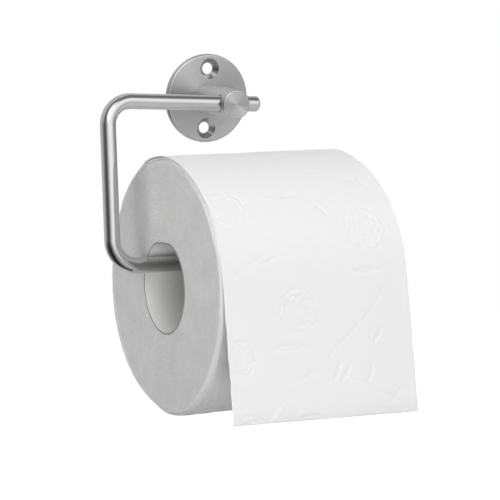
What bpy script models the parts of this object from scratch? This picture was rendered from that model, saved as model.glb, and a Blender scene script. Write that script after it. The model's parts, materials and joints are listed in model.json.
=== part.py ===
"""Wall-mounted toilet paper holder, with a full roll hanging on it.

A round rosette carries a short post. A bent steel rod runs through the post, turns down and turns back
under it as the arm that the roll hangs on. The rod turns in the post, so a full roll leans on the wall.

Metres, +Z up. The origin is the centre of the rosette's back face and the wall is the plane Y = 0.
+X runs right along the wall and +Y points into it, so the whole holder is at Y <= 0.
"""

from math import asin, cos, pi, radians, sin, sqrt, tan

import bmesh
import bpy
from mathutils import Matrix, Vector

MM = 0.001
GAP = 0.3 * MM  # clearance kept between two pieces that touch

# Rosette: the disc on the wall
ROSETTE_R = 23.0 * MM
ROSETTE_T = 3.2 * MM
ROSETTE_CHAMFER = 0.9 * MM
SCREW_HOLE_OFFSET = 15.5 * MM  # above and below the centre
SCREW_HOLE_R = 3.0 * MM
COUNTERSINK_R = 5.4 * MM

# Post: the turned bar that stands out of the rosette
POST_R = 7.5 * MM
POST_CHAMFER = 0.6 * MM
SPIGOT_R = 5.0 * MM
PIVOT_OUT = 30.0 * MM  # from the wall to the axis of the rod in the post
POST_FRONT_LAND = 3.0 * MM  # metal left in front of the rod

# Bracket: one bent rod
ROD_R = 4.0 * MM
LEG_LEFT = 68.5 * MM  # from the post's axis to the leg's axis
LEG_DROP = 82.5 * MM  # from the pivot axis to the corner of leg and arm
BEND_R = 12.5 * MM
STUB_X = 15.6 * MM  # the top run's end, past the post
ARM_END_X = 55.0 * MM  # the arm's open end
ARM_RISE = radians(2.3)  # the arm climbs this much to its open end
REST_SWING = radians(12.8)  # how far a full roll holds the bracket out from plumb
END_CHAMFER = 0.9 * MM
GROOVE_HALF = 1.6 * MM  # the groove that the set screw runs in
GROOVE_DEPTH = 0.6 * MM

# Set screw under the post
SET_SCREW_R = 2.0 * MM
SET_SCREW_POINT_R = 1.1 * MM
SET_SCREW_POINT = 0.7 * MM
HEX_R = 1.1 * MM
HEX_DEPTH = 1.5 * MM

# Roll
ROLL_R = 63.3 * MM
ROLL_WIDTH = 100.0 * MM
ROLL_LEFT_X = -48.0 * MM  # the roll's left face, measured at the arm
CORE_BORE_R = 22.7 * MM
CORE_WALL = 0.8 * MM
OUTER_TURN_T = 0.8 * MM
ROLL_EDGE = 1.0 * MM
WALL_GAP = 0.3 * MM

# Loose sheet: lies on the roll from its crown to the line where it leaves it, then hangs
SHEET_T = 0.5 * MM
SHEET_FLARE = radians(13.0)  # how far the hanging part leans out
SHEET_DROP = 69.0 * MM
SHEET_START = radians(100.0)  # on the roll, counted up from its front

POST_FRONT = PIVOT_OUT + ROD_R + POST_FRONT_LAND
STEEL = ((0.62, 0.62, 0.63, 1.0), 0.28, 1.0)
PAPER = ((0.92, 0.92, 0.91, 1.0), 0.9, 0.0)
CARDBOARD = ((0.55, 0.50, 0.44, 1.0), 0.85, 0.0)


def clear_scene():
    for obj in list(bpy.data.objects):
        bpy.data.objects.remove(obj, do_unlink=True)


def new_collection(name):
    collection = bpy.data.collections.new(name)
    bpy.context.scene.collection.children.link(collection)
    return collection


def material(name, look):
    color, roughness, metallic = look
    made = bpy.data.materials.new(name)
    made.use_nodes = True
    shader = made.node_tree.nodes["Principled BSDF"]
    shader.inputs["Base Color"].default_value = color
    shader.inputs["Roughness"].default_value = roughness
    shader.inputs["Metallic"].default_value = metallic
    made.diffuse_color = color
    return made


def add_object(name, data, collection, look=None, parent=None):
    obj = bpy.data.objects.new(name, data)
    collection.objects.link(obj)
    obj.parent = parent
    if look:
        obj.data.materials.append(material(name, look))
    return obj


def add_empty(name, collection, location, rotation=(0.0, 0.0, 0.0), parent=None):
    empty = add_object(name, None, collection, parent=parent)
    empty.location = location
    empty.rotation_euler = rotation
    return empty


def shade_round(mesh, angle=radians(35)):
    mesh.shade_smooth()
    mesh.set_sharp_from_angle(angle=angle)


def turned(name, profile, steps, collection, look=None, parent=None):
    """A turned piece about its local Z. The profile is (radius, height), from the top down the outer side.

    A profile that starts and ends on the axis makes a solid. Any other profile is closed into a ring.
    """
    mesh = bpy.data.meshes.new(name)
    shape = bmesh.new()
    points = [shape.verts.new((radius, 0.0, height)) for radius, height in profile]
    for start, end in zip(points, points[1:]):
        shape.edges.new((start, end))
    if profile[0][0] > 0:
        shape.edges.new((points[-1], points[0]))
    shape.to_mesh(mesh)
    shape.free()
    obj = add_object(name, mesh, collection, look, parent)
    screw = obj.modifiers.new("turn", "SCREW")
    screw.steps = steps
    screw.render_steps = steps
    screw.use_merge_vertices = True
    screw.merge_threshold = 0.00001
    screw.use_smooth_shade = True
    return obj


def as_cutter(obj):
    obj.hide_render = True
    obj.display_type = "WIRE"
    return obj


def cut(obj, cutter):
    boolean = obj.modifiers.new("cut " + cutter.name, "BOOLEAN")
    boolean.operation = "DIFFERENCE"
    boolean.object = cutter


def make_rosette(parts, cutters, out_of_wall):
    edge = ROSETTE_R - ROSETTE_CHAMFER
    profile = [
        (SPIGOT_R + GAP, ROSETTE_T),
        (edge, ROSETTE_T),
        (ROSETTE_R, ROSETTE_T - ROSETTE_CHAMFER),
        (ROSETTE_R, 0.0),
        (SPIGOT_R + GAP, 0.0),
    ]
    rosette = turned("rosette", profile, 72, parts, STEEL, out_of_wall)
    flare = COUNTERSINK_R - SCREW_HOLE_R
    past = 1.0 * MM
    hole = [
        (0.0, ROSETTE_T + past),
        (COUNTERSINK_R + past, ROSETTE_T + past),
        (SCREW_HOLE_R, ROSETTE_T - flare),
        (SCREW_HOLE_R, -past),
        (0.0, -past),
    ]
    for side, name in ((1, "upper_screw_hole"), (-1, "lower_screw_hole")):
        cutter = as_cutter(turned(name, hole, 32, cutters, parent=out_of_wall))
        cutter.location.y = side * SCREW_HOLE_OFFSET
        cut(rosette, cutter)


def make_post(parts, cutters, out_of_wall):
    profile = [
        (0.0, POST_FRONT),
        (POST_R - POST_CHAMFER, POST_FRONT),
        (POST_R, POST_FRONT - POST_CHAMFER),
        (POST_R, ROSETTE_T + GAP),
        (SPIGOT_R, ROSETTE_T + GAP),
        (SPIGOT_R, 0.0),
        (0.0, 0.0),
    ]
    post = turned("post", profile, 48, parts, STEEL, out_of_wall)
    reach = 2 * POST_R
    bore = as_cutter(turned("rod_bore", bar(ROD_R + GAP, reach, -reach), 40, cutters))
    bore.matrix_world = Matrix.Translation((0.0, -PIVOT_OUT, 0.0)) @ Matrix.Rotation(pi / 2, 4, "Y")
    thread = bar(SET_SCREW_R + GAP, 0.0, -reach)
    thread_hole = as_cutter(turned("set_screw_hole", thread, 24, cutters))
    thread_hole.location = (0.0, -PIVOT_OUT, 0.0)
    cut(post, bore)
    cut(post, thread_hole)


def bar(radius, top, bottom):
    return [(0.0, top), (radius, top), (radius, bottom), (0.0, bottom)]


def make_set_screw(parts, cutters):
    point_tip = -(ROD_R - GROOVE_DEPTH + GAP)
    shoulder = point_tip - SET_SCREW_POINT
    bottom = -(POST_R - GAP)
    profile = [
        (0.0, point_tip),
        (SET_SCREW_POINT_R, point_tip),
        (SET_SCREW_POINT_R, shoulder),
        (SET_SCREW_R, shoulder),
        (SET_SCREW_R, bottom),
        (0.0, bottom),
    ]
    screw = turned("set_screw", profile, 24, parts, STEEL)
    screw.location = (0.0, -PIVOT_OUT, 0.0)
    socket = as_cutter(turned("hex_socket", bar(HEX_R, bottom + HEX_DEPTH, bottom - HEX_DEPTH), 6, cutters))
    socket.location = screw.location
    cut(screw, socket)


def arc(centre, radius, start, end, steps):
    """Points of an arc in the bracket's plane, as (x, z), without its first point."""
    angles = [start + (end - start) * i / steps for i in range(1, steps + 1)]
    return [(centre[0] + radius * cos(a), centre[1] + radius * sin(a)) for a in angles]


def bracket_route():
    """The rod's centre line in the bracket's plane, as (x, z, radius factor), from the stub to the open end."""
    chamfered = 1 - END_CHAMFER / ROD_R
    grooved = 1 - GROOVE_DEPTH / ROD_R
    slope = 0.3 * MM
    route = [(STUB_X, 0.0, chamfered), (STUB_X - END_CHAMFER, 0.0, 1.0)]
    route += [(GROOVE_HALF + slope, 0.0, 1.0), (GROOVE_HALF, 0.0, grooved)]
    route += [(-GROOVE_HALF, 0.0, grooved), (-GROOVE_HALF - slope, 0.0, 1.0)]
    bend_x = BEND_R - LEG_LEFT
    route.append((bend_x, 0.0, 1.0))
    route += [(x, z, 1.0) for x, z in arc((bend_x, -BEND_R), BEND_R, pi / 2, pi, 12)]
    # The lower bend turns a little past square, and its tangent lengths follow from that.
    turn = pi / 2 + ARM_RISE
    tangent = BEND_R * tan(turn / 2)
    low_centre = (bend_x, -LEG_DROP + tangent)
    route.append((-LEG_LEFT, low_centre[1], 1.0))
    route += [(x, z, 1.0) for x, z in arc(low_centre, BEND_R, pi, pi + turn, 12)]
    run = ARM_END_X + LEG_LEFT
    before = run - END_CHAMFER * cos(ARM_RISE)
    route.append((before - LEG_LEFT, -LEG_DROP + before * tan(ARM_RISE), 1.0))
    route.append((ARM_END_X, -LEG_DROP + run * tan(ARM_RISE), chamfered))
    return route


def make_bracket(parts, pivot):
    curve = bpy.data.curves.new("bracket_rod", "CURVE")
    curve.dimensions = "3D"
    curve.bevel_depth = ROD_R
    curve.bevel_resolution = 8
    curve.use_fill_caps = True
    spline = curve.splines.new("POLY")
    route = bracket_route()
    spline.points.add(len(route) - 1)
    for point, (x, z, factor) in zip(spline.points, route):
        point.co = (x, 0.0, z, 1.0)
        point.radius = factor
    add_object("bracket_rod", curve, parts, STEEL, pivot)


def arm_point(x):
    """The arm's centre at x, in world coordinates, with the bracket at rest."""
    drop = LEG_DROP - (x + LEG_LEFT) * tan(ARM_RISE)
    return Vector((x, -PIVOT_OUT - drop * sin(REST_SWING), -drop * cos(REST_SWING)))


def roll_centre():
    """The centre of the roll's left face: the core rests on the arm and the roll's back on the wall."""
    hang = CORE_BORE_R - ROD_R - GAP
    near_end = arm_point(ROLL_LEFT_X + ROLL_WIDTH)
    out = ROLL_R + WALL_GAP + near_end.y
    lean = asin(out / hang)
    return arm_point(ROLL_LEFT_X) + Vector((0.0, -hang * sin(lean), -hang * cos(lean)))


def make_roll(parts, along_roll):
    """The core, the wound paper and the outer turn are rings about the roll's axis, which is local Z."""
    core_r = CORE_BORE_R + CORE_WALL
    core = [(core_r, ROLL_WIDTH), (core_r, 0.0), (CORE_BORE_R, 0.0), (CORE_BORE_R, ROLL_WIDTH)]
    turned("paper_core", core, 64, parts, CARDBOARD, along_roll)
    bore = core_r + GAP
    outer = ROLL_R - OUTER_TURN_T - GAP
    edge = ROLL_EDGE
    wound = [
        (outer - edge, ROLL_WIDTH),
        (outer, ROLL_WIDTH - edge),
        (outer, edge),
        (outer - edge, 0.0),
        (bore, 0.0),
        (bore, ROLL_WIDTH),
    ]
    turned("wound_paper", wound, 72, parts, PAPER, along_roll)
    inner = ROLL_R - OUTER_TURN_T
    turn = [(ROLL_R, ROLL_WIDTH - edge), (ROLL_R, edge), (inner, edge), (inner, ROLL_WIDTH - edge)]
    turned("outer_turn", turn, 72, parts, PAPER, along_roll)


def sheet_profile():
    """The loose sheet's inner side as (out, up) from the roll's axis: an arc, then the straight hanging part."""
    radius = ROLL_R + GAP
    steps = 20
    angles = [SHEET_START + (SHEET_FLARE - SHEET_START) * i / steps for i in range(steps + 1)]
    profile = [(radius * cos(a), radius * sin(a)) for a in angles]
    leave_out, leave_up = profile[-1]
    drops = 6
    for i in range(1, drops + 1):
        run = SHEET_DROP * i / drops
        profile.append((leave_out + run * sin(SHEET_FLARE), leave_up - run * cos(SHEET_FLARE)))
    return profile


def make_loose_sheet(parts, roll_axis):
    mesh = bpy.data.meshes.new("loose_sheet")
    shape = bmesh.new()
    rows = []
    for out, up in sheet_profile():
        rows.append([shape.verts.new((x, -out, up)) for x in (0.0, ROLL_WIDTH)])
    for above, below in zip(rows, rows[1:]):
        shape.faces.new((above[0], below[0], below[1], above[1]))
    shape.to_mesh(mesh)
    shape.free()
    sheet = add_object("loose_sheet", mesh, parts, PAPER, roll_axis)
    solid = sheet.modifiers.new("thickness", "SOLIDIFY")
    solid.thickness = SHEET_T
    solid.offset = 1.0
    solid.use_even_offset = True
    shade_round(mesh)


def main():
    clear_scene()
    parts = new_collection("toilet_paper_holder")
    cutters = new_collection("cutters")
    # Local +Z of this empty points straight out of the wall.
    out_of_wall = add_empty("wall_axis", parts, (0.0, 0.0, 0.0), (pi / 2, 0.0, 0.0))
    pivot = add_empty("bracket_pivot", parts, (0.0, -PIVOT_OUT, 0.0), (-REST_SWING, 0.0, 0.0))
    # The roll's axis is parallel to the arm, and local +X of this empty lies on it.
    arm = (arm_point(ARM_END_X) - arm_point(-LEG_LEFT)).normalized()
    roll_axis = add_empty("roll_axis", parts, roll_centre())
    roll_axis.rotation_mode = "QUATERNION"
    roll_axis.rotation_quaternion = Vector((1.0, 0.0, 0.0)).rotation_difference(arm)
    along_roll = add_empty("roll_turning_axis", parts, (0, 0, 0), (0.0, pi / 2, 0.0), roll_axis)

    make_rosette(parts, cutters, out_of_wall)
    make_post(parts, cutters, out_of_wall)
    make_set_screw(parts, cutters)
    make_bracket(parts, pivot)
    make_roll(parts, along_roll)
    make_loose_sheet(parts, roll_axis)
    bpy.context.view_layer.update()


main()
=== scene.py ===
"""Looks of the toilet paper holder: turned satin steel, a bent rod and a full roll of embossed tissue.

Metres, in the CAD frame: the wall is the plane Y = 0, the holder hangs at Y < 0, +X is right, +Z is up.
"""

import json
from math import atan2, cos, degrees, hypot, pi, radians, sin, sqrt, tan

import bmesh
import bpy
import numpy as np
from mathutils import Matrix, Vector, kdtree


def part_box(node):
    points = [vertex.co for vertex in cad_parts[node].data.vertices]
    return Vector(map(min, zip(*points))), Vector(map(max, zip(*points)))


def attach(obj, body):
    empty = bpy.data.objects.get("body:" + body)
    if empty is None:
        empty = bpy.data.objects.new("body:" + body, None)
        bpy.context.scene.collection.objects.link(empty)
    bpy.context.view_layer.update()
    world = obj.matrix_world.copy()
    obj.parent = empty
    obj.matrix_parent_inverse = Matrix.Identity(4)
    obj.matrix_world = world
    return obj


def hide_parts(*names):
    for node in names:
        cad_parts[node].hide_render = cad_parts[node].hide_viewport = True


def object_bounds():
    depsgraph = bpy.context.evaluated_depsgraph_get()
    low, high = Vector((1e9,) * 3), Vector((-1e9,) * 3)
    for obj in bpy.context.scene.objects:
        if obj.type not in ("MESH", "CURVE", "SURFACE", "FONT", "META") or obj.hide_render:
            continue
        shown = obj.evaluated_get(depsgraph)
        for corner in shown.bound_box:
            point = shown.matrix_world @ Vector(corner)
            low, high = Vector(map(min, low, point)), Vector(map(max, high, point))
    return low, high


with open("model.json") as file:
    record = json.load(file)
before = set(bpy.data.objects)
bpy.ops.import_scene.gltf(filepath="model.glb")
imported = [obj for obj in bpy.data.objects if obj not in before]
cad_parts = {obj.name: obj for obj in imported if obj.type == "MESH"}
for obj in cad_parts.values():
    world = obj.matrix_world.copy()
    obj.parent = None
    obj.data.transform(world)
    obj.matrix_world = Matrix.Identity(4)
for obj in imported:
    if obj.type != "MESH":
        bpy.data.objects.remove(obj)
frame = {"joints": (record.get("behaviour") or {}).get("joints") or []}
cad_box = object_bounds()

MM = 0.001

# ---------------------------------------------------------------- sizes, from the frame
JOINTS = {joint["name"]: joint for joint in frame["joints"]}
PIVOT = Vector(JOINTS["bracket_swing"]["pos_m"])
ROLL_ORIGIN = Vector(JOINTS["roll_spin"]["pos_m"])  # centre of the roll's left face
ROLL_AXIS = Vector(JOINTS["roll_spin"]["axis"]).normalized()

rosette_low, rosette_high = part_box("rosette")
ROSETTE_R = rosette_high.x
ROSETTE_T = -rosette_low.y
post_low, post_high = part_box("post")
POST_R = post_high.x
POST_FRONT = -post_low.y
rod_low, rod_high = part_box("bracket_rod")
ROD_R = rod_high.z
LEG_LEFT = -rod_low.x - ROD_R
screw_low, screw_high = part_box("set_screw")

# The same driving dimensions as the CAD model's
ROSETTE_CHAMFER = 0.9 * MM
SCREW_HOLE_OFFSET = 15.5 * MM
SCREW_HOLE_R = 3.0 * MM
COUNTERSINK_R = 5.4 * MM
SPIGOT_R = 5.0 * MM
SUPPORT = 0.25 * MM  # spacing of the extra ring that keeps a flat face flat beside a rounded edge
GAP = 0.3 * MM
LEG_DROP = 82.5 * MM
BEND_R = 12.5 * MM
STUB_X = 15.6 * MM
ARM_END_X = 55.0 * MM
ARM_RISE = radians(2.3)
REST_SWING = radians(12.8)
ROLL_R = 63.3 * MM
ROLL_WIDTH = 100.0 * MM
CORE_BORE_R = 22.7 * MM
CORE_WALL = 0.8 * MM
OUTER_TURN_T = 0.8 * MM
SHEET_T = 0.25 * MM
SHEET_FLARE = radians(13.0)
SHEET_DROP = 69.0 * MM
SHEET_START = radians(118.0)


# ---------------------------------------------------------------- mesh helpers
SMOOTH_BELOW = radians(40)  # a sharper edge between two faces is kept crisp
CUT_SMOOTH_BELOW = radians(25)  # the same, on turned parts that have been cut


def ring_angles(steps):
    return np.arange(steps) * 2 * pi / steps


def grid_object(name, rows, wrap_rows=False, wrap_columns=False, matrix=None):
    """A surface through a grid of points, rows[i][j], wrapped round either way."""
    points = np.asarray(rows, float)
    count, width = points.shape[:2]
    index = np.arange(count * width).reshape(count, width)
    next_row = np.roll(index, -1, axis=0)
    next_column = np.roll(index, -1, axis=1)
    corner = np.roll(next_row, -1, axis=1)
    quads = np.stack([index, next_row, corner, next_column], axis=-1)
    quads = quads[: count if wrap_rows else count - 1, : width if wrap_columns else width - 1]
    mesh = bpy.data.meshes.new(name)
    mesh.from_pydata(points.reshape(-1, 3).tolist(), [], quads.reshape(-1, 4).tolist())
    return finish_mesh(name, mesh, matrix)


def finish_mesh(name, mesh, matrix=None):
    """Welds doubles, drops collapsed faces, points the faces out and shades the mesh smooth."""
    shape = bmesh.new()
    shape.from_mesh(mesh)
    bmesh.ops.remove_doubles(shape, verts=shape.verts, dist=1e-7)
    bmesh.ops.dissolve_degenerate(shape, edges=shape.edges, dist=1e-8)
    bmesh.ops.recalc_face_normals(shape, faces=shape.faces)
    shape.to_mesh(mesh)
    shape.free()
    if matrix is not None:
        mesh.transform(matrix)
    mesh.shade_smooth()
    mesh.set_sharp_from_angle(angle=SMOOTH_BELOW)
    obj = bpy.data.objects.new(name, mesh)
    bpy.context.scene.collection.objects.link(obj)
    return obj


def lathe(name, profile, steps, matrix=None):
    """Turns (radius, height) points round local Z. A point on the axis closes the surface there."""
    angles = ring_angles(steps)
    turn = np.stack([np.cos(angles), np.sin(angles)], axis=1)
    rows = [np.column_stack([radius * turn, np.full(steps, height)]) for radius, height in profile]
    return grid_object(name, rows, wrap_columns=True, matrix=matrix)


def bezier(start, corner, end, steps):
    """Points from just after start to end, along a curve that rounds off the corner."""
    points = []
    for i in range(1, steps + 1):
        t = i / steps
        weighted = list(zip(((1 - t) ** 2, 2 * t * (1 - t), t * t), (start, corner, end)))
        points.append(tuple(sum(w * p[k] for w, p in weighted) for k in (0, 1)))
    return points


def cut_out(obj, cutters):
    """Cuts the cutters from obj for good, and removes them."""
    for cutter in cutters:
        boolean = obj.modifiers.new("cut", "BOOLEAN")
        boolean.object = cutter
        boolean.operation = "DIFFERENCE"
    graph = bpy.context.evaluated_depsgraph_get()
    mesh = bpy.data.meshes.new_from_object(obj.evaluated_get(graph))
    obj.modifiers.clear()
    obj.data = mesh
    for cutter in cutters:
        bpy.data.objects.remove(cutter)
    mesh.shade_smooth()
    mesh.set_sharp_from_angle(angle=CUT_SMOOTH_BELOW)


def place(obj, body, node, material):
    """Gives a piece its material and its body, and hides the CAD part that it stands for."""
    obj.data.materials.clear()
    obj.data.materials.append(material)
    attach(obj, body)
    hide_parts(node)


# ---------------------------------------------------------------- materials
def maths(tree, operation, *values):
    """A maths node on outputs and plain numbers."""
    node = tree.nodes.new("ShaderNodeMath")
    node.operation = operation
    for socket, value in zip(node.inputs, values):
        if isinstance(value, (int, float)):
            socket.default_value = value
        else:
            tree.links.new(value, socket)
    return node.outputs[0]


class Nodes:
    """Short calls for building one material's node tree."""

    def __init__(self, name):
        self.material = bpy.data.materials.new(name)
        self.material.use_nodes = True
        self.tree = self.material.node_tree
        self.shader = self.tree.nodes["Principled BSDF"]

    def add(self, kind, **settings):
        node = self.tree.nodes.new(kind)
        for key, value in settings.items():
            setattr(node, key, value)
        return node

    def link(self, source, target):
        self.tree.links.new(source, target)

    def set(self, **values):
        for key, value in values.items():
            self.shader.inputs[key.replace("_", " ")].default_value = value

    def coordinates(self, scale=(1.0, 1.0, 1.0)):
        place_of = self.add("ShaderNodeTexCoord").outputs["Object"]
        mapping = self.add("ShaderNodeMapping")
        mapping.inputs["Scale"].default_value = scale
        self.link(place_of, mapping.inputs["Vector"])
        return mapping.outputs["Vector"]

    def noise(self, vector, scale, detail=2.0, roughness=0.5):
        noise = self.add("ShaderNodeTexNoise")
        noise.inputs["Scale"].default_value = scale
        noise.inputs["Detail"].default_value = detail
        noise.inputs["Roughness"].default_value = roughness
        self.link(vector, noise.inputs["Vector"])
        return noise.outputs["Fac"]

    def math(self, operation, *values):
        return maths(self.tree, operation, *values)

    def ramp(self, value, low, high, from_low=0.3, from_high=0.7):
        """Maps a value onto low to high, from the middle of a noise's range unless another is given."""
        remap = self.add("ShaderNodeMapRange")
        remap.inputs["From Min"].default_value = from_low
        remap.inputs["From Max"].default_value = from_high
        remap.inputs["To Min"].default_value = low
        remap.inputs["To Max"].default_value = high
        self.link(value, remap.inputs["Value"])
        return remap.outputs["Result"]

    def mixed_color(self, factor, dark, light):
        mix = self.add("ShaderNodeMix", data_type="RGBA")
        mix.inputs[6].default_value = (*dark, 1.0)
        mix.inputs[7].default_value = (*light, 1.0)
        self.link(factor, mix.inputs[0])
        return mix.outputs[2]

    def bump(self, height, distance, strength):
        bump = self.add("ShaderNodeBump")
        bump.inputs["Distance"].default_value = distance
        bump.inputs["Strength"].default_value = strength
        self.link(height, bump.inputs["Height"])
        return bump.outputs["Normal"]


def ring_coordinates(nodes):
    """A vector that changes with the distance from the Y axis and along it, and not round it."""
    split = nodes.add("ShaderNodeSeparateXYZ")
    nodes.link(nodes.coordinates(), split.inputs[0])
    flat = nodes.add("ShaderNodeCombineXYZ")
    nodes.link(split.outputs["X"], flat.inputs["X"])
    nodes.link(split.outputs["Z"], flat.inputs["Y"])
    length = nodes.add("ShaderNodeVectorMath", operation="LENGTH")
    nodes.link(flat.outputs[0], length.inputs[0])
    ring = nodes.add("ShaderNodeCombineXYZ")
    nodes.link(length.outputs["Value"], ring.inputs["X"])
    nodes.link(split.outputs["Y"], ring.inputs["Y"])
    return ring.outputs[0]


def shades(grey, dark, light):
    """Two colours. Each pair says how much of the grey is in red and green, and how much in blue."""
    return [(grey * share, grey * share, grey * blue) for share, blue in (dark, light)]


def turned_steel(name, grey=0.66, roughness=0.48):
    """Satin stainless turned on a lathe: fine rings about the Y axis, and a highlight that fans out."""
    nodes = Nodes(name)
    nodes.set(Metallic=1.0, Anisotropic=0.9, Anisotropic_Rotation=0.25)
    rings = nodes.noise(ring_coordinates(nodes), 5200.0, detail=3.0, roughness=0.6)
    broad = nodes.noise(ring_coordinates(nodes), 700.0, detail=2.0)
    cloud = nodes.noise(nodes.coordinates(), 160.0, detail=3.0)
    mean = nodes.math("MULTIPLY", nodes.math("ADD", rings, cloud), 0.5)
    color = nodes.mixed_color(mean, *shades(grey, (0.93, 0.935), (1.05, 1.055)))
    nodes.link(color, nodes.shader.inputs["Base Color"])
    nodes.link(nodes.ramp(broad, roughness - 0.03, roughness + 0.05), nodes.shader.inputs["Roughness"])
    nodes.link(nodes.bump(rings, 0.006 * MM, 0.6), nodes.shader.inputs["Normal"])
    tangent = nodes.add("ShaderNodeTangent", direction_type="RADIAL", axis="Y")
    nodes.link(tangent.outputs[0], nodes.shader.inputs["Tangent"])
    return nodes.material


def rod_steel(name, grey=0.65, roughness=0.115):
    """Ground and satin-polished steel: nearly mirror-like, with faint scratches and soft clouds."""
    nodes = Nodes(name)
    nodes.set(Metallic=1.0)
    scratches = nodes.noise(nodes.coordinates(), 2600.0, detail=3.0, roughness=0.65)
    cloud = nodes.noise(nodes.coordinates(), 220.0, detail=3.0)
    color = nodes.mixed_color(cloud, *shades(grey, (0.95, 0.955), (1.04, 1.045)))
    nodes.link(color, nodes.shader.inputs["Base Color"])
    nodes.link(nodes.ramp(cloud, roughness - 0.03, roughness + 0.04), nodes.shader.inputs["Roughness"])
    nodes.link(nodes.bump(scratches, 0.002 * MM, 0.5), nodes.shader.inputs["Normal"])
    return nodes.material


def tissue(name, grey=0.93):
    """Soft matt tissue: a fine fibre bump and faint clouds of thicker and thinner pulp."""
    nodes = Nodes(name)
    nodes.set(Roughness=0.95, Sheen_Weight=0.15, Sheen_Roughness=0.6)
    nodes.shader.inputs["Specular IOR Level"].default_value = 0.15
    nodes.shader.inputs["Subsurface Weight"].default_value = 0.12
    nodes.shader.inputs["Subsurface Radius"].default_value = (1.0, 0.98, 0.95)
    nodes.shader.inputs["Subsurface Scale"].default_value = 0.8 * MM
    cloud = nodes.noise(nodes.coordinates(), 240.0, detail=4.0, roughness=0.6)
    color = nodes.mixed_color(cloud, *shades(grey, (0.975, 0.97), (1.01, 1.008)))
    nodes.link(color, nodes.shader.inputs["Base Color"])
    fibres = nodes.noise(nodes.coordinates(), 1900.0, detail=4.0, roughness=0.7)
    nodes.link(nodes.bump(fibres, 0.035 * MM, 0.7), nodes.shader.inputs["Normal"])
    return nodes.material


def layered_paper(name, dark, light):
    """The cut end of the wound tissue: ply edges broken up by loose fibres, fine and broad."""
    nodes = Nodes(name)
    nodes.set(Roughness=0.98, Sheen_Weight=0.1, Sheen_Roughness=0.7)
    nodes.shader.inputs["Specular IOR Level"].default_value = 0.1
    mottled = nodes.noise(nodes.coordinates(), 520.0, detail=5.0, roughness=0.7)
    broad = nodes.noise(nodes.coordinates(), 90.0, detail=2.0)
    both = nodes.math("MULTIPLY_ADD", mottled, 0.55, nodes.math("MULTIPLY", broad, 0.45))
    colors = [(grey, grey, grey * 0.995) for grey in (dark, light)]
    nodes.link(nodes.mixed_color(both, *colors), nodes.shader.inputs["Base Color"])
    fine = nodes.noise(nodes.coordinates(), 1100.0, detail=5.0, roughness=0.75)
    nodes.link(nodes.bump(fine, 0.16 * MM, 0.9), nodes.shader.inputs["Normal"])
    return nodes.material


UNSHADED_DEPTH = 7 * MM  # the core's board has no painted shade from its mouth to this depth
DEEPEST_SHADE_DEPTH = 25 * MM  # and its painted shade is at its darkest from this depth on


def cardboard(name, shade=1.0):
    """Pale grey board of the core, with short fibres, and painted shade that darkens it deep inside,
    away from its mouths.
    """
    nodes = Nodes(name)
    nodes.set(Roughness=0.9)
    nodes.shader.inputs["Specular IOR Level"].default_value = 0.2
    flecks = nodes.noise(nodes.coordinates((0.3, 1.0, 1.0)), 900.0, detail=5.0, roughness=0.7)
    # Painted shade: the board's colour darkens with the depth into the core, standing in for the light
    # that falls off inside it.
    split = nodes.add("ShaderNodeSeparateXYZ")
    nodes.link(nodes.coordinates(), split.inputs[0])
    half = ROLL_WIDTH / 2
    past_middle = nodes.math("SUBTRACT", split.outputs["X"], ROLL_ORIGIN.x + half)
    from_middle = nodes.math("ABSOLUTE", past_middle)
    near_mouth = nodes.ramp(from_middle, 0.0, 1.0, half - DEEPEST_SHADE_DEPTH, half - UNSHADED_DEPTH)
    board = nodes.add("ShaderNodeMix", data_type="RGBA")
    nodes.link(near_mouth, board.inputs[0])
    # Socket 6 takes the painted-shade colours deep inside, socket 7 the unshaded colours at the mouths.
    for socket, (dark, light) in ((6, (0.46, 0.58)), (7, (0.93, 0.99))):
        colors = [(grey * shade, grey * shade * 0.997, grey * shade * 0.985) for grey in (dark, light)]
        nodes.link(nodes.mixed_color(flecks, *colors), board.inputs[socket])
    nodes.link(board.outputs[2], nodes.shader.inputs["Base Color"])
    nodes.link(nodes.bump(flecks, 0.03 * MM, 0.6), nodes.shader.inputs["Normal"])
    return nodes.material


# ---------------------------------------------------------------- holder
OUT_OF_WALL = Matrix.Rotation(pi / 2, 4, "X")  # local +Z becomes -Y


def crisp_edges(obj, name):
    """Gives the chamfers and countersinks the brighter finish of a fine last cut."""
    obj.data.materials.append(rod_steel(name, 0.60, 0.24))
    for face in obj.data.polygons:
        # Only faces that slope: not those that face the room, nor those square to the wall
        if cos(radians(80)) < abs(face.normal.y) < cos(radians(10)):
            face.material_index = 1


def make_rosette():
    soft_edge = ROSETTE_R - 1.6 * ROSETTE_CHAMFER
    bore = SPIGOT_R + GAP
    profile = [(bore, 0.0), (bore, ROSETTE_T), (bore + SUPPORT, ROSETTE_T)]
    profile += [(soft_edge - SUPPORT, ROSETTE_T), (soft_edge, ROSETTE_T)]
    side_top = (ROSETTE_R, ROSETTE_T - ROSETTE_CHAMFER)
    profile += bezier((soft_edge, ROSETTE_T), (ROSETTE_R, ROSETTE_T), side_top, 8)
    back_edge = 0.25 * MM
    profile += [(ROSETTE_R, 0.5 * ROSETTE_T), (ROSETTE_R, back_edge), (ROSETTE_R - back_edge, 0.0)]
    profile.append(profile[0])
    rosette = lathe("rosette_disc", profile, 256, OUT_OF_WALL)
    flare = COUNTERSINK_R - SCREW_HOLE_R
    past = 1.0 * MM
    hole = [
        (0.0, ROSETTE_T + past),
        (COUNTERSINK_R + past, ROSETTE_T + past),
        (SCREW_HOLE_R, ROSETTE_T - flare),
        (SCREW_HOLE_R, -past),
        (0.0, -past),
    ]
    cutters = []
    for side in (1, -1):
        shift = Matrix.Translation((0.0, 0.0, side * SCREW_HOLE_OFFSET))
        cutters.append(lathe("hole_cutter", hole, 96, shift @ OUT_OF_WALL))
    cut_out(rosette, cutters)
    place(rosette, "wall_mount", "rosette", turned_steel("turned_rosette_steel"))
    crisp_edges(rosette, "rosette_edge_steel")


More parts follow.
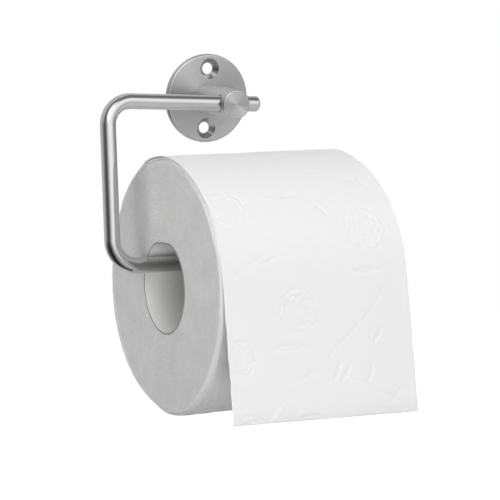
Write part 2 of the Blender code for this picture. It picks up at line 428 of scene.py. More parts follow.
def make_post():
    soft_edge = POST_R - 0.9 * MM
    side_top = POST_FRONT - 0.7 * MM
    shoulder = ROSETTE_T + 0.1 * MM  # clear of the rosette's face
    back_edge = 0.2 * MM
    profile = [(0.0, POST_FRONT), (soft_edge - SUPPORT, POST_FRONT), (soft_edge, POST_FRONT)]
    profile += bezier((soft_edge, POST_FRONT), (POST_R, POST_FRONT), (POST_R, side_top), 7)
    profile += [(POST_R, side_top - SUPPORT), (POST_R, ROSETTE_T + GAP + back_edge)]
    profile += [(POST_R - back_edge, shoulder), (SPIGOT_R, shoulder), (SPIGOT_R, 0.0), (0.0, 0.0)]
    post = lathe("post_turned", profile, 192, OUT_OF_WALL)
    reach = 2 * POST_R
    bore = [(0.0, reach), (ROD_R + GAP, reach), (ROD_R + GAP, -reach), (0.0, -reach)]
    across = Matrix.Translation(PIVOT) @ Matrix.Rotation(pi / 2, 4, "Y")
    screw_r = screw_high.x + GAP
    thread = [(0.0, 0.0), (screw_r, 0.0), (screw_r, -reach), (0.0, -reach)]
    bore_cutter = lathe("bore_cutter", bore, 128, across)
    thread_cutter = lathe("thread_cutter", thread, 64, Matrix.Translation(PIVOT))
    cut_out(post, [bore_cutter, thread_cutter])
    place(post, "wall_mount", "post", turned_steel("turned_post_steel"))
    crisp_edges(post, "post_edge_steel")


def make_set_screw():
    """Hexagon socket grub screw with a dog point, seen only from below."""
    radius = screw_high.x
    root = radius - 0.3 * MM
    point_r = 1.1 * MM
    shoulder = screw_high.z - 0.7 * MM
    bottom = screw_low.z
    pitch = 0.7 * MM
    profile = [(0.0, screw_high.z), (point_r, screw_high.z), (point_r, shoulder)]
    turns = int((shoulder - bottom) / pitch)
    for i in range(turns):
        top = shoulder - i * pitch
        profile += [(root, top), (radius, top - 0.35 * pitch), (radius, top - 0.65 * pitch)]
    profile += [(root, shoulder - turns * pitch), (root, bottom), (0.0, bottom)]
    centre = Matrix.Translation((PIVOT.x, PIVOT.y, 0.0))
    screw = lathe("set_screw_body", profile, 64, centre)
    hex_r = 1.1 * MM
    socket_top = bottom + 1.5 * MM
    socket = [(0.0, socket_top), (hex_r, socket_top), (hex_r, bottom - MM), (0.0, bottom - MM)]
    cut_out(screw, [lathe("socket_cutter", socket, 6, centre)])
    place(screw, "wall_mount", "set_screw", rod_steel("screw_steel", 0.42, 0.32))


def arc(centre, radius, start, end, steps):
    """Points along an arc, from just after its start to its end."""
    angles = [start + (end - start) * i / steps for i in range(1, steps + 1)]
    return [(centre[0] + radius * cos(a), centre[1] + radius * sin(a)) for a in angles]


def rod_centre_line():
    """The rod's centre line in the bracket's plane, as (x, z), finely divided on its bends."""
    bend_x = BEND_R - LEG_LEFT
    line = [(STUB_X, 0.0), (POST_R, 0.0), (-POST_R, 0.0)]
    line += [(x, 0.0) for x in np.linspace(-20 * MM, bend_x, 5)]
    line += arc((bend_x, -BEND_R), BEND_R, pi / 2, pi, 40)
    turn = pi / 2 + ARM_RISE
    low_centre = (bend_x, -LEG_DROP + BEND_R * tan(turn / 2))
    line += [(-LEG_LEFT, z) for z in np.linspace(-BEND_R, low_centre[1], 6)[1:]]
    line += arc(low_centre, BEND_R, pi, pi + turn, 40)
    for x in np.linspace(bend_x + 3 * MM, ARM_END_X, 8):
        line.append((x, -LEG_DROP + (x + LEG_LEFT) * tan(ARM_RISE)))
    return line


def make_rod():
    """Sweeps a circle along the centre line, with a small soft chamfer at each end."""
    line = [Vector((x, 0.0, z)) for x, z in rod_centre_line()]
    angles = ring_angles(64)
    rows = []

    def ring(centre, direction, radius):
        across = direction.cross(Vector((0.0, 1.0, 0.0))).normalized()
        points = [centre + radius * (cos(a) * across + Vector((0.0, sin(a), 0.0))) for a in angles]
        rows.append([tuple(p) for p in points])

    # An end's rings, as shares of the rod's radius: how wide, and how far back from the very end
    end_profile = [(0.0, 0.0), (0.45, 0.0), (0.74, 0.03), (0.79, 0.07)]
    end_profile += [(0.97, 0.24), (0.995, 0.29), (1.0, 0.36)]
    first = (line[1] - line[0]).normalized()
    last = (line[-1] - line[-2]).normalized()
    for share, back in end_profile:
        ring(line[0] + first * back * ROD_R, first, share * ROD_R)
    for before, here, after in zip(line, line[1:], line[2:]):
        ring(here, ((here - before).normalized() + (after - here).normalized()).normalized(), ROD_R)
    for share, back in reversed(end_profile):
        ring(line[-1] - last * back * ROD_R, last, share * ROD_R)
    at_pivot = Matrix.Translation(PIVOT) @ Matrix.Rotation(-REST_SWING, 4, "X")
    rod = grid_object("bent_rod", rows, wrap_columns=True, matrix=at_pivot)
    rod.data.set_sharp_from_angle(angle=radians(60))
    place(rod, "bracket", "bracket_rod", rod_steel("rod_satin_steel"))


# ---------------------------------------------------------------- roll
TO_AXIS = Vector((1, 0, 0)).rotation_difference(ROLL_AXIS)
ROLL = Matrix.Translation(ROLL_ORIGIN) @ TO_AXIS.to_matrix().to_4x4()
# Soft bulges of the outer turns: angle in degrees up from the front, width in degrees, height in mm
BULGES = [(97, 30, 0.5), (206, 20, 1.25), (250, 15, -0.45)]
BULGES += [(278, 16, 0.25), (30, 30, -0.15), (330, 25, 0.15)]
RIM_DEPTH = 2.6 * MM  # radial depth of the slanting rim, where the outer turns stand back
MOUTH_DENT = 1.7 * MM
MOUTH_DENT_REACH = 7 * MM  # the dent fades over about this depth
STRIP_WIDTH = 62 * MM  # of the board that the core is wound from
JOINT_SHARE = 0.03  # of the strip, for the step at its joint
TURN_PITCH = 0.42 * MM  # one visible turn of tissue on an end face
RINGS_PER_TURN = 3
LEAVES_OF_TISSUE = 4  # they fill the outer turn's thickness
LEAF_SHARE = 0.88  # of its room, for each leaf: the rest is air
ROLL_EMBOSS = 0.6  # how deep the outer turn is embossed, as a share of the loose sheet's depth
EMBOSS_SEAM = radians(60.0)  # where the outer turn's pattern starts, hidden under the loose sheet


def smooth_noise(count, waves, seed):
    """A closed smooth wave of about +-1 over count samples, from a few seeded harmonics."""
    random = np.random.default_rng(seed)
    t = ring_angles(count)
    total = np.zeros(count)
    for k in waves:
        total += random.normal() * np.cos(k * t + random.uniform(0, 2 * pi)) / sqrt(len(waves))
    return total


def near(angles, centre, width):
    """1 at the centre and almost 0 twice the width away, both in degrees, for angles in radians."""
    away = (np.degrees(angles) - centre + 180) % 360 - 180
    return np.exp(-((away / width) ** 2))


def out_of_round(angles):
    """How far the loose last turns stand off the round roll, at angles counted up from its front."""
    return sum(height * MM * near(angles, centre, width) for centre, width, height in BULGES)


def ring_points(x, radius, angles):
    """Points round the roll's axis: angle 0 is the roll's front, and a quarter turn is its top."""
    along = np.broadcast_to(x, angles.shape)
    return np.column_stack([along, -radius * np.cos(angles), radius * np.sin(angles)])


def make_core():
    """A thin board tube wound from strip: the joint runs round it as a shallow helical step."""
    angles = ring_angles(160)
    rim = 0.12 * MM
    dented = 13 * MM  # the dent is all but gone by here
    near_mouth = np.linspace(rim, dented - MM, 14)
    rest = np.linspace(dented, ROLL_WIDTH - rim, 76)
    rows = []
    for x in np.concatenate([near_mouth, rest]):
        phase = (x / STRIP_WIDTH + angles / (2 * pi)) % 1.0
        step = np.where(phase < JOINT_SHARE, 0.12 * MM, 0.0)
        rows.append(ring_points(x, CORE_BORE_R + step - mouth_dent(x, angles), angles))
    outer = CORE_BORE_R + CORE_WALL + 0.5 * GAP
    rows.append(ring_points(ROLL_WIDTH, CORE_BORE_R + rim, angles))
    rows.append(ring_points(ROLL_WIDTH, outer - rim, angles))
    rows.append(ring_points(ROLL_WIDTH - rim, outer, angles))
    rows.append(ring_points(dented, outer, angles))
    for x in (8 * MM, 4 * MM, 1.5 * MM, rim):
        rows.append(ring_points(x, outer - mouth_dent(x, angles), angles))
    rows.append(ring_points(0.0, outer - rim - mouth_dent(0.0, angles), angles))
    rows.append(ring_points(0.0, CORE_BORE_R + rim - mouth_dent(0.0, angles), angles))
    core = grid_object("cardboard_core", rows, wrap_rows=True, wrap_columns=True, matrix=ROLL)
    # The board's material carries painted shade deep inside the core.
    place(core, "roll", "paper_core", cardboard("core_board_painted_shade"))
    core.data.materials.append(cardboard("core_cut_edge", 0.42))
    for face in core.data.polygons:
        along = (Vector(face.center) - ROLL_ORIGIN).dot(ROLL_AXIS)
        if abs(face.normal.dot(ROLL_AXIS)) > 0.5 and min(along, ROLL_WIDTH - along) < 0.5 * MM:
            face.material_index = 1


def rim_setback(radius, angles):
    """How far the outer turns stand back from the end: little at front and back, most underneath."""
    waves = 0.75 * np.cos(angles - 0.3) + 0.12 * np.sin(3 * angles) + 0.08 * np.sin(7 * angles + 2)
    depth = MM * (1.2 + waves - 1.3 * near(angles, 15, 42) + 1.5 * near(angles, 260, 13))
    share = np.clip((radius - (ROLL_R - RIM_DEPTH)) / RIM_DEPTH, 0, 1)
    return depth * share**0.9


def mouth_dent(x, angles):
    """How far the core's mouth is pushed in at its top. It is gone a centimetre or so in."""
    return MOUTH_DENT * near(angles, 96, 21) * np.exp(-((x / MOUTH_DENT_REACH) ** 2))


def turn_heights(random, count):
    """How far each turn stands proud of the end face: a slow drift, and the last few stand apart."""
    heights = random.normal(0.0, 0.03 * MM, count)
    heights[-8:] += 0.2 * MM * np.array([0, -1, 1, -0.6, 1.2, -1, 0.8, 0])
    knots = np.arange(0, count, 9)
    return heights + np.interp(np.arange(count), knots, random.normal(0.0, 0.05 * MM, len(knots)))


def fibre_mottle(random, bands, samples):
    """Loose fibres, as random heights in bands that run out from the core, softened round the roll."""
    mottle = random.normal(0.0, 1.0, (bands, samples))
    for _ in range(2):
        mottle = (np.roll(mottle, 1, 1) + 2 * mottle + np.roll(mottle, -1, 1)) / 4
    return 0.07 * MM * mottle


def end_face_rows(x, outward, inner, outer, angles, seed):
    """Rings of an end face. Its turns run as a spiral, and each stands proud or back a little."""
    random = np.random.default_rng(seed)
    count = int((outer - inner) / TURN_PITCH) + 4
    heights = turn_heights(random, count)
    bands = 40
    mottle = fibre_mottle(random, bands, len(angles))
    around = [smooth_noise(len(angles), (1, 2, 3, 5, 8, 13), seed + k) for k in range(6)]
    rows = []
    for radius in np.arange(inner + 0.1 * MM, outer - 0.1 * MM, TURN_PITCH / RINGS_PER_TURN):
        wound = (radius - inner) / TURN_PITCH - angles / (2 * pi)
        layer = np.clip(np.floor(wound).astype(int), 0, count - 1)
        crown = 0.03 * MM * np.sin(pi * (wound % 1))
        share = (radius - inner) / (outer - inner) * (len(around) - 1)
        low = int(share)
        wave = around[low] * (1 - share + low) + around[min(low + 1, len(around) - 1)] * (share - low)
        band = int(share * bands) % bands
        blend = (share * bands) % 1
        rough = mottle[band] * (1 - blend) + mottle[(band + 1) % bands] * blend
        offset = heights[layer] + crown + 0.06 * MM * wave + rough - rim_setback(radius, angles)
        # Only the left mouth is dented, and the dent dies out in the paper round it.
        dent = mouth_dent(0.0, angles) * np.exp(-(radius - inner) / (6 * MM)) * (outward < 0)
        rows.append(ring_points(x + outward * offset, radius - dent, angles))
    return rows


def make_wound_paper():
    """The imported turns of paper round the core, with a ragged paler rim outside them."""
    steps = 360  # one to a degree
    angles = ring_angles(steps)
    inner = CORE_BORE_R + CORE_WALL + 0.6 * GAP
    outer = ROLL_R - OUTER_TURN_T - 0.3 * GAP
    mouth = 0.4 * MM
    shoulder = 2.8 * MM
    rows = [ring_points(9 * MM, inner, angles)]
    rows.append(ring_points(mouth, inner - mouth_dent(mouth, angles), angles))
    rows += end_face_rows(0.0, -1, inner, outer, angles, 11)
    rows.append(ring_points(shoulder, outer, angles))
    rows.append(ring_points(ROLL_WIDTH - shoulder, outer, angles))
    rows += end_face_rows(ROLL_WIDTH, 1, inner, outer, angles, 23)[::-1]
    rows.append(ring_points(ROLL_WIDTH - mouth, inner, angles))
    paper = grid_object("wound_tissue", rows, wrap_rows=True, wrap_columns=True, matrix=ROLL)
    paper.data.set_sharp_from_angle(angle=radians(80))
    place(paper, "roll", "wound_paper", layered_paper("tissue_end", 0.645, 0.995))
    # The last, loosely wound turns are paler: a painted highlight for the light on the slanting rim,
    # widened low at the front.
    paper.data.materials.append(layered_paper("tissue_rim_painted_highlight", 0.84, 1.0))
    ragged = 0.35 * smooth_noise(steps, (2, 3, 5, 8, 13, 21), 77)
    # Painted highlight: near 325 degrees the pale band reaches 2 mm further in.
    pale_from = ROLL_R + MM * (ragged - 1.9 - 2.0 * near(angles, 325, 26))
    to_roll = ROLL.inverted()
    for face in paper.data.polygons:
        local = to_roll @ (paper.matrix_world @ face.center)
        around = int(degrees(atan2(local.z, -local.y)) % 360)
        if hypot(local.y, local.z) > pale_from[around]:
            face.material_index = 1


def leaf_grid(leaf):
    """One leaf's angles, the place of each of its points along the roll, and how far each is lifted."""
    outermost = leaf == LEAVES_OF_TISSUE - 1
    steps = 600 if outermost else 300
    angles = EMBOSS_SEAM + ring_angles(steps)
    base = ROLL_R - OUTER_TURN_T + (OUTER_TURN_T + out_of_round(angles)) * leaf / LEAVES_OF_TISSUE
    setback = rim_setback(base, angles)
    ragged = 0.16 * MM
    left = setback + ragged * smooth_noise(steps, (1, 2, 3, 5, 9, 17, 26, 41), 31 + leaf)
    right = ROLL_WIDTH - setback + ragged * smooth_noise(steps, (1, 2, 4, 7), 41 + leaf)
    right -= 2.1 * MM * near(angles, 86, 26)
    inside = np.linspace(0.03, 0.97, 150 if outermost else 20)
    shares = np.concatenate([[0.0, 0.004, 0.012], inside, [0.988, 0.996, 1.0]])
    place_x = left + (right - left) * shares[:, None]
    lift = 0.05 * MM * np.sin(7 * angles + 90 * place_x + leaf) * np.cos(5 * angles - 40 * place_x)
    pinch = near(angles, 252, 20) * leaf / LEAVES_OF_TISSUE
    lift = lift - 0.3 * MM * pinch * np.exp(-place_x / (6 * MM))
    if outermost:
        up = np.broadcast_to(SHEET_DROP + (angles - SHEET_FLARE) * ROLL_R, place_x.shape)
        lift = lift - ROLL_EMBOSS * EMBOSS_DEPTH * emboss_relief(place_x, up)
        lift = lift + sum(ridge(place_x, up, *line) for line in RIM_RIDGES)
    return angles, base, place_x, lift


def make_outer_turn():
    """The last turns: leaves of tissue with uneven edges. The outermost has the embossed pattern."""
    shape = bmesh.new()
    for leaf in range(LEAVES_OF_TISSUE):
        angles, base, place_x, lift = leaf_grid(leaf)
        top = base + LEAF_SHARE * (OUTER_TURN_T + out_of_round(angles)) / LEAVES_OF_TISSUE
        sunk = 0.6 * np.minimum(lift, 0)  # the underside follows the hollows, and less
        rows = [ring_points(x, top + bump, angles) for x, bump in zip(place_x, lift)]
        rows += [ring_points(x, base + dip, angles) for x, dip in zip(place_x[::-1], sunk[::-1])]
        made = grid_object(f"leaf_{leaf}", rows, wrap_rows=True, wrap_columns=True, matrix=ROLL)
        shape.from_mesh(made.data)
        bpy.data.objects.remove(made)
    mesh = bpy.data.meshes.new("outer_leaves")
    shape.to_mesh(mesh)
    shape.free()
    turn = finish_mesh("outer_leaves", mesh)
    place(turn, "roll_wrap", "outer_turn", tissue("turn_tissue"))


# ---------------------------------------------------------------- loose sheet
REPEAT = 110.0 * MM  # length of web after which the pattern comes round again
# The motifs, in mm across the web and up from the sheet's lower edge, and turns in radians.
# Roses: place, size, petals and turn
ROSES = [(39, 52, 7.0, 8, 0.3), (81, 90, 7.5, 9, 0.9), (9, 104, 7.0, 8, 0.2), (6, 31, 5.5, 7, 1.1)]
# Leaves: place, half length and turn
LEAVES = [
    (33, 34.5, 7.5, 0.0),
    (77, 69, 6.5, 0.05),
    (42, 111, 6.5, 0.0),
    (57, 22, 4.0, 1.1),
    (61, 20, 4.0, 0.9),
    (75, 20, 4.0, 1.2),
    (81, 38, 3.5, 0.9),
    (60, 101, 3.5, -0.9),
    (88, 118, 4.0, 0.8),
    (24, 76, 3.5, 0.4),
]
# Stems: start, end and bow
STEMS = [
    ((35, 18), (86, 60), -0.05),
    ((5, 69), (34, 83), 0.04),
    ((42, 90), (58, 73), 0.05),
    ((62, 128), (97, 110), 0.06),
]
EMBOSS_DEPTH = 0.32 * MM
EMBOSS_REACH = 0.75 * MM  # half width of an embossed line
STEM_DEPTH = 0.6  # as a share of the other lines' depth
# Fold lines on the web: start and end, as for the motifs, and height in mm
CREASES = [((16, -2), (31, 12), 0.35), ((1, 24), (9, 17), 0.3), ((5, 6), (13, 11), 0.2)]
UNDER = (SHEET_DROP + (radians(300) - SHEET_FLARE) * ROLL_R) / MM  # up the web to the roll's underside
RIM_RIDGES = [  # on the outer turn, most of them near its left edge
    ((1, UNDER + 34), (7, UNDER + 2), 0.45),
    ((5, UNDER + 28), (12, UNDER + 2), 0.4),
    ((16, UNDER + 5), (2, UNDER - 20), 0.5),
    ((23, UNDER - 3), (10, UNDER - 19), 0.3),
    ((1, UNDER - 8), (13, UNDER + 10), 0.35),
    ((60, UNDER - 60), (84, UNDER - 44), 0.3),
]
SHEET_RIGHT = 1.2 * MM  # the right edge runs this much in at the crown, and out at the lower edge


def circle_stroke(centre, radius, t):
    return centre + np.column_stack([radius * np.cos(t), radius * np.sin(t)])


def rose(centre, size, petals, turn):
    """Scalloped rings round a small swirl, like an open rose, with a broken ring round them."""
    t = np.linspace(0, 2 * pi, 150)
    strokes = []
    rings = ((1.0, petals, 0.10), (0.70, petals - 1, 0.13), (0.42, petals - 3, 0.18))
    for scale, lobes, depth in rings:
        radius = size * scale * (1 + depth * np.cos(lobes * (t + turn * scale)))
        strokes.append(circle_stroke(centre, radius, t))
    strokes.append(circle_stroke(centre, size * 0.26 * t / (2 * pi), 1.4 * t + turn))
    for k in range(5):
        radius = size * (1.38 + 0.12 * np.sin(np.linspace(0, pi, 30)))
        strokes.append(circle_stroke(centre, radius, turn + k * 1.25 + np.linspace(0, 0.75, 30)))
    return strokes


def leaf_outline(centre, length, turn):
    """A pointed leaf of twice this length, with a short rib."""
    t = np.linspace(-1, 1, 50)
    half_width = 0.17 * length * (1 - t * t)
    along = np.array([cos(turn), sin(turn)])
    aside = np.array([-sin(turn), cos(turn)])
    sides = [centre + np.outer(t * length, along) + np.outer(k * half_width, aside) for k in (1, -1)]
    return sides + [centre + np.outer(t[15:-15] * length, along)]


def stem(start, end, bow):
    """A slightly wavy line between two points, bowed by this share of its length."""
    t = np.linspace(0, 1, 160)[:, None]
    start, end = np.array(start) * MM, np.array(end) * MM
    across = np.array([start[1] - end[1], end[0] - start[0]])
    bowed = bow * np.sin(pi * t) + 0.2 * bow * np.sin(3 * pi * t)
    return start + (end - start) * t + across * bowed


def motif_strokes():
    """One repeat of the embossed pattern, as points in metres, and how deep each is."""
    strokes = []
    for x, y, size, petals, turn in ROSES:
        strokes += rose(np.array([x, y]) * MM, size * MM, petals, turn)
    for x, y, length, turn in LEAVES:
        strokes += leaf_outline(np.array([x, y]) * MM, length * MM, turn)
    deep = np.concatenate(strokes)
    shallow = np.concatenate([stem(*line) for line in STEMS])
    depth = np.concatenate([np.ones(len(deep)), np.full(len(shallow), STEM_DEPTH)])
    return np.concatenate([deep, shallow]), depth


def emboss_relief(across, up):
    """From 0 to 1: how far into the embossing each point of the web is."""
    samples, depth = motif_strokes()
    tree = kdtree.KDTree(3 * len(samples))
    for shift in (-1, 0, 1):
        for i, (x, y) in enumerate(samples):
            tree.insert((x, y + shift * REPEAT, 0.0), i)
    tree.balance()
    wrapped = up % REPEAT
    found = [tree.find((x, y, 0.0)) for x, y in zip(across.ravel(), wrapped.ravel())]
    distance = np.array([hit[2] for hit in found])
    depth_there = depth[[hit[1] for hit in found]]
    return (depth_there * np.exp(-((distance / EMBOSS_REACH) ** 2))).reshape(across.shape)


def sheet_rows():
    """The sheet's middle surface in the roll's frame, from its hidden start to its lower edge."""
    leaf_r = ROLL_R + 0.35 * MM  # clear of the outer turn
    arc_length = (SHEET_START - SHEET_FLARE) * leaf_r
    length = arc_length + SHEET_DROP
    v, u = np.meshgrid(np.linspace(0.0, length, 421), np.linspace(0.0, 1.0, 221), indexing="ij")
    angle = SHEET_START - np.minimum(v, arc_length) / leaf_r
    hang = np.maximum(v - arc_length, 0.0)
    share = hang / SHEET_DROP
    across, up = u * ROLL_WIDTH, length - v
    # The start dips into the roll, so that the sheet grows out of the turn below it.
    sink = 1.0 * MM * np.clip(1 - v / (10 * MM), 0, 1) ** 2
    slack = 66  # over this many degrees from its start it stands off the roll, most at its right edge
    past_start = degrees(SHEET_START) - np.degrees(angle)
    standing_off = np.where(past_start < slack, np.clip(np.sin(pi * past_start / slack), 0, 1), 0.0)
    radius = leaf_r + out_of_round(angle) - sink + 0.65 * MM * standing_off * u
    skew = 1.0 * MM * share * (2 * u - 1)
    border = np.clip(np.minimum(u, 1 - u) * ROLL_WIDTH / (1.5 * MM), 0, 1)
    wave = 0.8 * MM * share**2 * np.cos(pi * (u - 0.1)) + 0.3 * MM * share * np.sin(8.0 * u + 2)
    turned_in = -0.7 * MM * np.clip(1 - (SHEET_DROP - hang) / (7 * MM), 0, 1) ** 2
    creased = sum(crease(across, up, *line) for line in CREASES)
    lift = wave + turned_in + creased - EMBOSS_DEPTH * emboss_relief(across, up) * border
    outward = radius * np.cos(angle) + hang * sin(SHEET_FLARE) + lift * np.cos(angle)
    upward = radius * np.sin(angle) - (hang + skew) * cos(SHEET_FLARE) + lift * np.sin(angle)
    ragged = 0.12 * MM * np.sin(310 * v + 1) + 0.08 * MM * np.sin(730 * v)
    drawn_in = SHEET_RIGHT * np.cos(pi * np.clip(1.05 * v / length, 0, 1)) - 0.5 * MM * share**3
    drawn_in += 2.8 * MM * near(angle, 83, 21)
    left = 1.4 * MM * near(angle, 32, 26) * (1 - share) + ragged
    right = ROLL_WIDTH - drawn_in + ragged
    return np.stack([left + (right - left) * u, -outward, upward], axis=-1), length


def make_loose_sheet():
    """One length of tissue: off the roll's back, over its crown, down its front and hanging free."""
    rows, length = sheet_rows()
    sheet = grid_object("loose_tissue", rows, matrix=ROLL)
    solid = sheet.modifiers.new("thickness", "SOLIDIFY")
    solid.thickness = SHEET_T
    solid.offset = 0.0
    graph = bpy.context.evaluated_depsgraph_get()
    sheet.data = bpy.data.meshes.new_from_object(sheet.evaluated_get(graph))
    sheet.modifiers.clear()
    place(sheet, "hanging_sheet", "loose_sheet", tissue("sheet_tissue", 0.94))


def beside_line(across, up, start, end):
    """Distance from a line, and a weight that is 1 at its middle and 0 at its ends."""
    start, end = np.array(start) * MM, np.array(end) * MM
    line = end - start
    size = np.linalg.norm(line)
    along = ((across - start[0]) * line[0] + (up - start[1]) * line[1]) / size
    aside = ((across - start[0]) * line[1] - (up - start[1]) * line[0]) / size
    return aside, np.sin(pi * np.clip(along / size, 0, 1))


def crease(across, up, start, end, depth):
    """A soft fold line, where the paper steps from one side to the other."""
    aside, fade = beside_line(across, up, start, end)
    step = np.exp(-np.abs(aside) / (2.5 * MM)) * (1 - np.exp(-np.abs(aside) / (0.5 * MM)))
    return depth * MM * fade * np.sign(aside) * step


def ridge(across, up, start, end, height):
    """A soft fold line that stands proud."""
    aside, fade = beside_line(across, up, start, end)
    return height * MM * fade * np.exp(-((aside / (0.8 * MM)) ** 2))


# ---------------------------------------------------------------- studio
# The camera that was fitted to the outlines in the photo
CAMERA_PLACE = Vector((-0.47257, -0.96738, 0.08112))
CAMERA_YAW = radians(27.545)
CAMERA_PITCH = radians(-8.454)
CAMERA_ROLL = radians(3.542)
CAMERA_SENSOR = 36.0  # mm
CAMERA_LENS = 148.175  # mm
# The softbox and its surroundings as the steel mirrors them: (angle in degrees, brightness)
BOX_ACROSS = [(-68, 0.0), (-38, 0.35), (-22, 1.0), (14, 1.0), (34, 0.85), (58, 0.3), (84, 0.0)]
BOX_UP = [(-12, 0.0), (6, 0.45), (20, 0.85), (36, 1.0), (47, 0.4), (60, 0.0)]
BOX_STRENGTH = 1.28
BASE_ACROSS = [(-110, 0.0), (-84, 0.15), (-60, 0.1), (-36, 0.4), (-8, 0.8)]
BASE_ACROSS += [(25, 1.0), (60, 1.0), (95, 0.55), (120, 0.0)]
BASE_UP = [(-80, 0.05), (-60, 0.2), (-40, 0.68), (-25, 0.66), (-6, 0.52)]
BASE_UP += [(12, 0.34), (30, 0.26), (60, 0.14), (85, 0.25)]
BEHIND_ACROSS = [(-150, 0.66), (-112, 0.62), (-90, 0.3), (-76, 0.0)]
BEHIND_ACROSS += [(88, 0.0), (112, 0.25), (134, 0.62), (150, 0.66)]
# Round patches: azimuth, elevation, full within, gone beyond (degrees), and gain. Below 0 it darkens.
PATCHES = [(-30, 46, 6, 28, 1.0), (-80, -34, 24, 56, -0.8)]
AMBIENT = 0.13  # the world's light on the paper
STUDIO_CENTRE = Vector((0.0, -0.06, -0.07))
PANEL_DISTANCE = 1.7
FLOOR_DROP = 1.4  # below the object
FLOOR_HALF = 7.0
# Name, azimuth and elevation in degrees, size in metres, and strength
LIGHTS = [
    ("front_high", 5, 45, (1.1, 0.8), 0.505),
    ("above", 0, 100, (1.0, 1.0), 0.10),
    ("front_left", -20, 6, (0.9, 0.9), 0.15),
    ("low_left", -50, -14, (1.1, 1.1), 0.19),
    ("front_low", 0, -35, (1.1, 0.7), 0.17),
    ("left", -85, 28, (1.3, 1.3), 0.325),
    ("right", 95, 10, (0.9, 0.9), 0.38),
    ("behind", 180, 5, (1.1, 0.9), 0.42),
]


def make_camera():
    yaw, pitch, roll = CAMERA_YAW, CAMERA_PITCH, CAMERA_ROLL
    ahead = Vector((sin(yaw) * cos(pitch), cos(yaw) * cos(pitch), sin(pitch)))
    right = Vector((cos(yaw), -sin(yaw), 0.0))
    up = right.cross(ahead)
    right_rolled = cos(roll) * right + sin(roll) * up
    up_rolled = -sin(roll) * right + cos(roll) * up
    turn = Matrix((right_rolled, up_rolled, -ahead)).transposed().to_4x4()
    data = bpy.data.cameras.new("camera")
    data.sensor_width = CAMERA_SENSOR
    data.lens = CAMERA_LENS
    camera = bpy.data.objects.new("camera", data)
    camera.matrix_world = Matrix.Translation(CAMERA_PLACE) @ turn
    bpy.context.scene.collection.objects.link(camera)
    bpy.context.scene.camera = camera


def direction(azimuth, elevation):
    """A unit vector: azimuth 0 is straight out from the wall and +90 to the right, both in degrees."""
    a, e = radians(azimuth), radians(elevation)
    return Vector((sin(a) * cos(e), -cos(a) * cos(e), sin(e)))


def soft_light(name, azimuth, elevation, size, strength):
    """A large soft panel aimed at the object. It lights the paper, and the steel doesn't mirror it."""
    data = bpy.data.lights.new(name, "AREA")
    data.shape = "RECTANGLE"
    data.size, data.size_y = size
    data.energy = strength * pi * pi * PANEL_DISTANCE**2
    light = bpy.data.objects.new(name, data)
    toward = direction(azimuth, elevation)
    turn = (-toward).to_track_quat("-Z", "Y").to_matrix().to_4x4()
    light.matrix_world = Matrix.Translation(STUDIO_CENTRE + toward * PANEL_DISTANCE) @ turn
    light.visible_glossy = False
    bpy.context.scene.collection.objects.link(light)


def make_floor():
    """A pale floor that glows on its own and lights nothing."""
    level = cad_box[0].z - FLOOR_DROP
    span = np.linspace(-FLOOR_HALF, FLOOR_HALF, 15)
    floor = grid_object("studio_floor", [[(x, y, level) for x in span] for y in span])
    nodes = Nodes("pale_floor")
    nodes.set(Roughness=1.0)
    nodes.shader.inputs["Base Color"].default_value = (0.9, 0.9, 0.9, 1.0)
    nodes.shader.inputs["Emission Color"].default_value = (1.0, 1.0, 1.0, 1.0)
    nodes.shader.inputs["Emission Strength"].default_value = 1.0
    floor.data.materials.append(nodes.material)
    floor.visible_diffuse = False
    floor.visible_glossy = False


def sky_curve(tree, value, low, high, points):
    """A smooth curve of brightness over an angle in degrees, through (angle, brightness) points."""
    to_unit = tree.nodes.new("ShaderNodeMapRange")
    to_unit.inputs["From Min"].default_value = radians(low)
    to_unit.inputs["From Max"].default_value = radians(high)
    tree.links.new(value, to_unit.inputs["Value"])
    ramp = tree.nodes.new("ShaderNodeValToRGB")
    ramp.color_ramp.interpolation = "B_SPLINE"
    stops = ramp.color_ramp.elements
    while len(stops) < len(points):
        stops.new(0.5)
    for stop, (angle, brightness) in zip(stops, points):
        stop.position = (angle - low) / (high - low)
        stop.color = (brightness, brightness, brightness, 1.0)
    tree.links.new(to_unit.outputs["Result"], ramp.inputs["Fac"])
    return ramp.outputs["Color"]


def patch_share(tree, sky, azimuth, elevation, inner, outer):
    """1 within inner degrees of a direction, fading to 0 at outer degrees from it."""
    dot = tree.nodes.new("ShaderNodeVectorMath")
    dot.operation = "DOT_PRODUCT"
    tree.links.new(sky, dot.inputs[0])
    dot.inputs[1].default_value = direction(azimuth, elevation)
    fade = tree.nodes.new("ShaderNodeMapRange")
    fade.interpolation_type = "SMOOTHSTEP"
    fade.inputs["From Min"].default_value = cos(radians(outer))
    fade.inputs["From Max"].default_value = cos(radians(inner))
    tree.links.new(dot.outputs["Value"], fade.inputs["Value"])
    return fade.outputs["Result"]


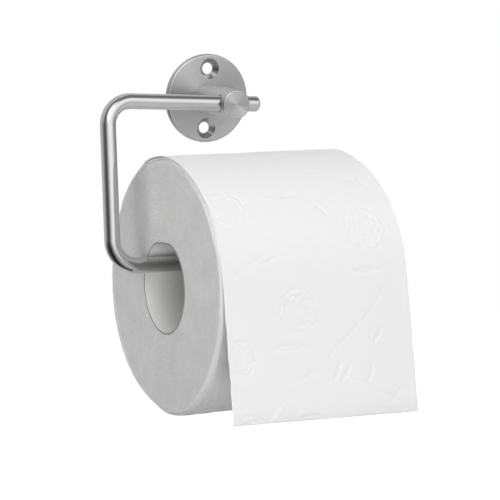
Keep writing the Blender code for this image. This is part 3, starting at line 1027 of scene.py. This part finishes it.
def make_world():
    """White to the camera, even and weak on the paper, and a softbox among dark cards in the steel."""
    world = bpy.data.worlds.new("studio")
    world.use_nodes = True
    world.cycles.sampling_method = "NONE"
    tree = world.node_tree
    tree.nodes.clear()

    def math(operation, *values):
        return maths(tree, operation, *values)

    split = tree.nodes.new("ShaderNodeSeparateXYZ")
    sky = tree.nodes.new("ShaderNodeTexCoord").outputs["Generated"]
    tree.links.new(sky, split.inputs[0])
    azimuth = math("ARCTAN2", split.outputs["X"], math("MULTIPLY", split.outputs["Y"], -1.0))
    elevation = math("ARCSINE", split.outputs["Z"])
    box_across = sky_curve(tree, azimuth, -180, 180, BOX_ACROSS)
    box_up = sky_curve(tree, elevation, -90, 90, BOX_UP)
    base_across = sky_curve(tree, azimuth, -180, 180, BASE_ACROSS)
    base_up = sky_curve(tree, elevation, -90, 90, BASE_UP)
    box = math("MULTIPLY", math("MULTIPLY", box_across, box_up), BOX_STRENGTH)
    base = math("MULTIPLY", base_across, base_up)
    behind = sky_curve(tree, azimuth, -180, 180, BEHIND_ACROSS)
    mirrored = math("ADD", math("ADD", box, base), behind)
    for *patch, gain in PATCHES:
        share = patch_share(tree, sky, *patch)
        if gain < 0:
            mirrored = math("MULTIPLY", mirrored, math("MULTIPLY_ADD", share, gain, 1.0))
        else:
            mirrored = math("ADD", mirrored, math("MULTIPLY", share, gain))

    path = tree.nodes.new("ShaderNodeLightPath")
    glossy, camera = path.outputs["Is Glossy Ray"], path.outputs["Is Camera Ray"]
    seen = math("MULTIPLY", mirrored, glossy)
    lighting = math("MULTIPLY", math("SUBTRACT", 1.0, glossy), AMBIENT)
    not_camera = math("MULTIPLY", math("ADD", seen, lighting), math("SUBTRACT", 1.0, camera))
    background = tree.nodes.new("ShaderNodeBackground")
    background.inputs["Color"].default_value = (1.0, 1.0, 1.0, 1.0)
    tree.links.new(math("ADD", not_camera, camera), background.inputs["Strength"])
    out = tree.nodes.new("ShaderNodeOutputWorld")
    tree.links.new(background.outputs[0], out.inputs["Surface"])
    bpy.context.scene.world = world


def make_studio():
    make_camera()
    make_world()
    make_floor()
    for light in LIGHTS:
        soft_light(*light)
    bpy.context.scene.view_settings.view_transform = "Standard"


make_studio()
make_rosette()
make_post()
make_set_screw()
make_rod()
make_core()
make_wound_paper()
make_outer_turn()
make_loose_sheet()
